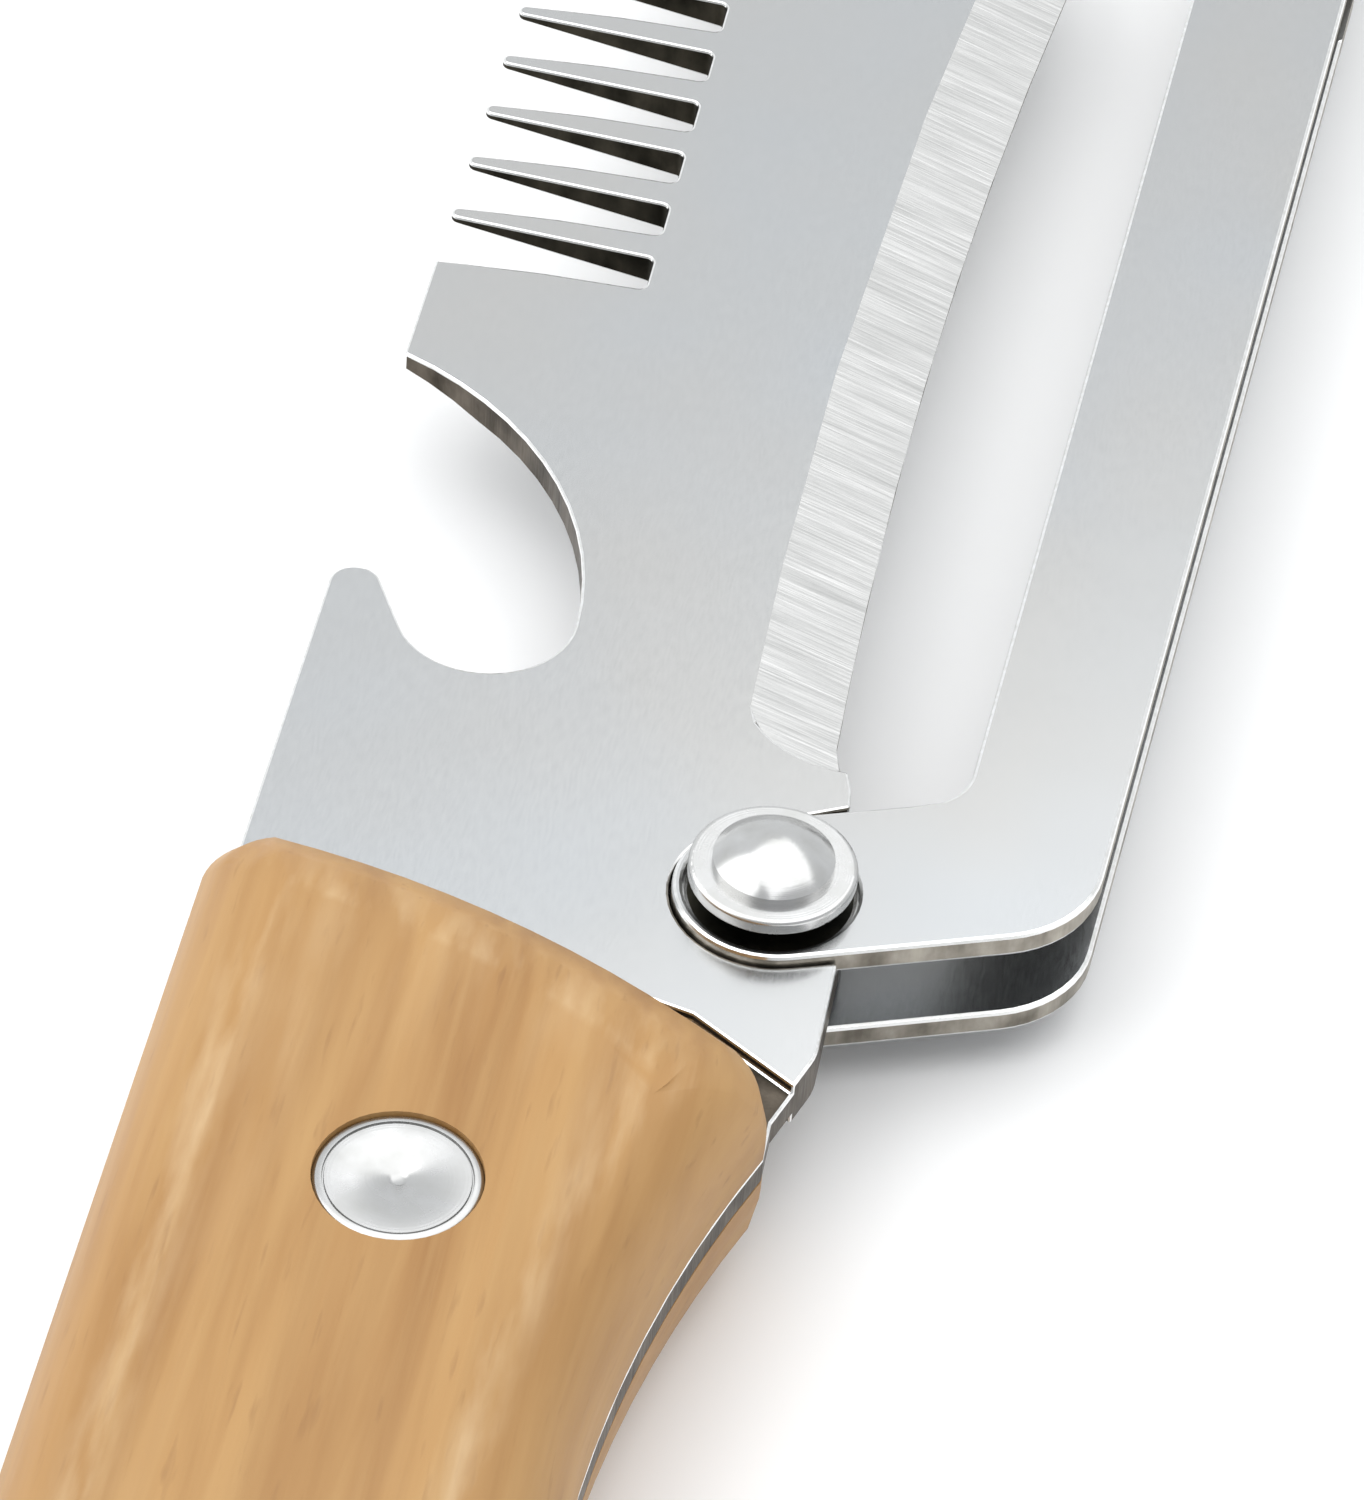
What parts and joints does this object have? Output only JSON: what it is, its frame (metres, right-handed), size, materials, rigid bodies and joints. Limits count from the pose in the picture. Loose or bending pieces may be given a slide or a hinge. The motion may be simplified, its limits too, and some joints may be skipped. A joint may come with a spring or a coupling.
{
  "type": "hoof pick multi-tool",
  "caption": "Stable hand tool with a riveted wooden grip, a steel plate with knife edge, mane comb and rounded hook, and a swinging folded arm that ends in a blunt hoof pick.",
  "frame": {"origin": "on the surface that the tool lies on, under the middle of its bounding box", "axes": "the tool lies flat on its rear scale: +Y runs from the grip to the blade's nose, +X from the back with the comb to the knife edge and the arm, +Z out of the front face"},
  "size_m": [0.0405, 0.2005, 0.0122],
  "materials": {
    "plate_steel": "satin stainless sheet with a cross-brushed knife bevel",
    "arm_steel": "satin stainless sheet",
    "pivot_steel": "tumbled stainless with small dents",
    "washer_steel": "satin stainless",
    "rivet_steel": "fine-turned stainless",
    "grip_wood": "oiled light hardwood, sanded smooth"
  },
  "bodies": {
    "tool": {"blade_plate": "plate_steel", "front_scale": "grip_wood", "rear_scale": "grip_wood", "front_rivet_sleeve": "rivet_steel", "middle_rivet_sleeve": "rivet_steel", "rear_rivet_sleeve": "rivet_steel", "front_rivet_post": "rivet_steel", "middle_rivet_post": "rivet_steel", "rear_rivet_post": "rivet_steel", "pivot_rivet": "pivot_steel", "front_washer": "washer_steel", "front_collar": "washer_steel", "rear_spacer": "washer_steel", "rear_washer": "washer_steel"},
    "arm": {"pick_arm": "arm_steel"}
  },
  "joints": [
    {"name": "arm_swing", "type": "hinge", "parent": "tool", "child": "arm", "pos_m": [0.00163, 0.005, 0.0072], "axis": [0, 0, 1], "range_deg": [0, 6]}
  ]
}
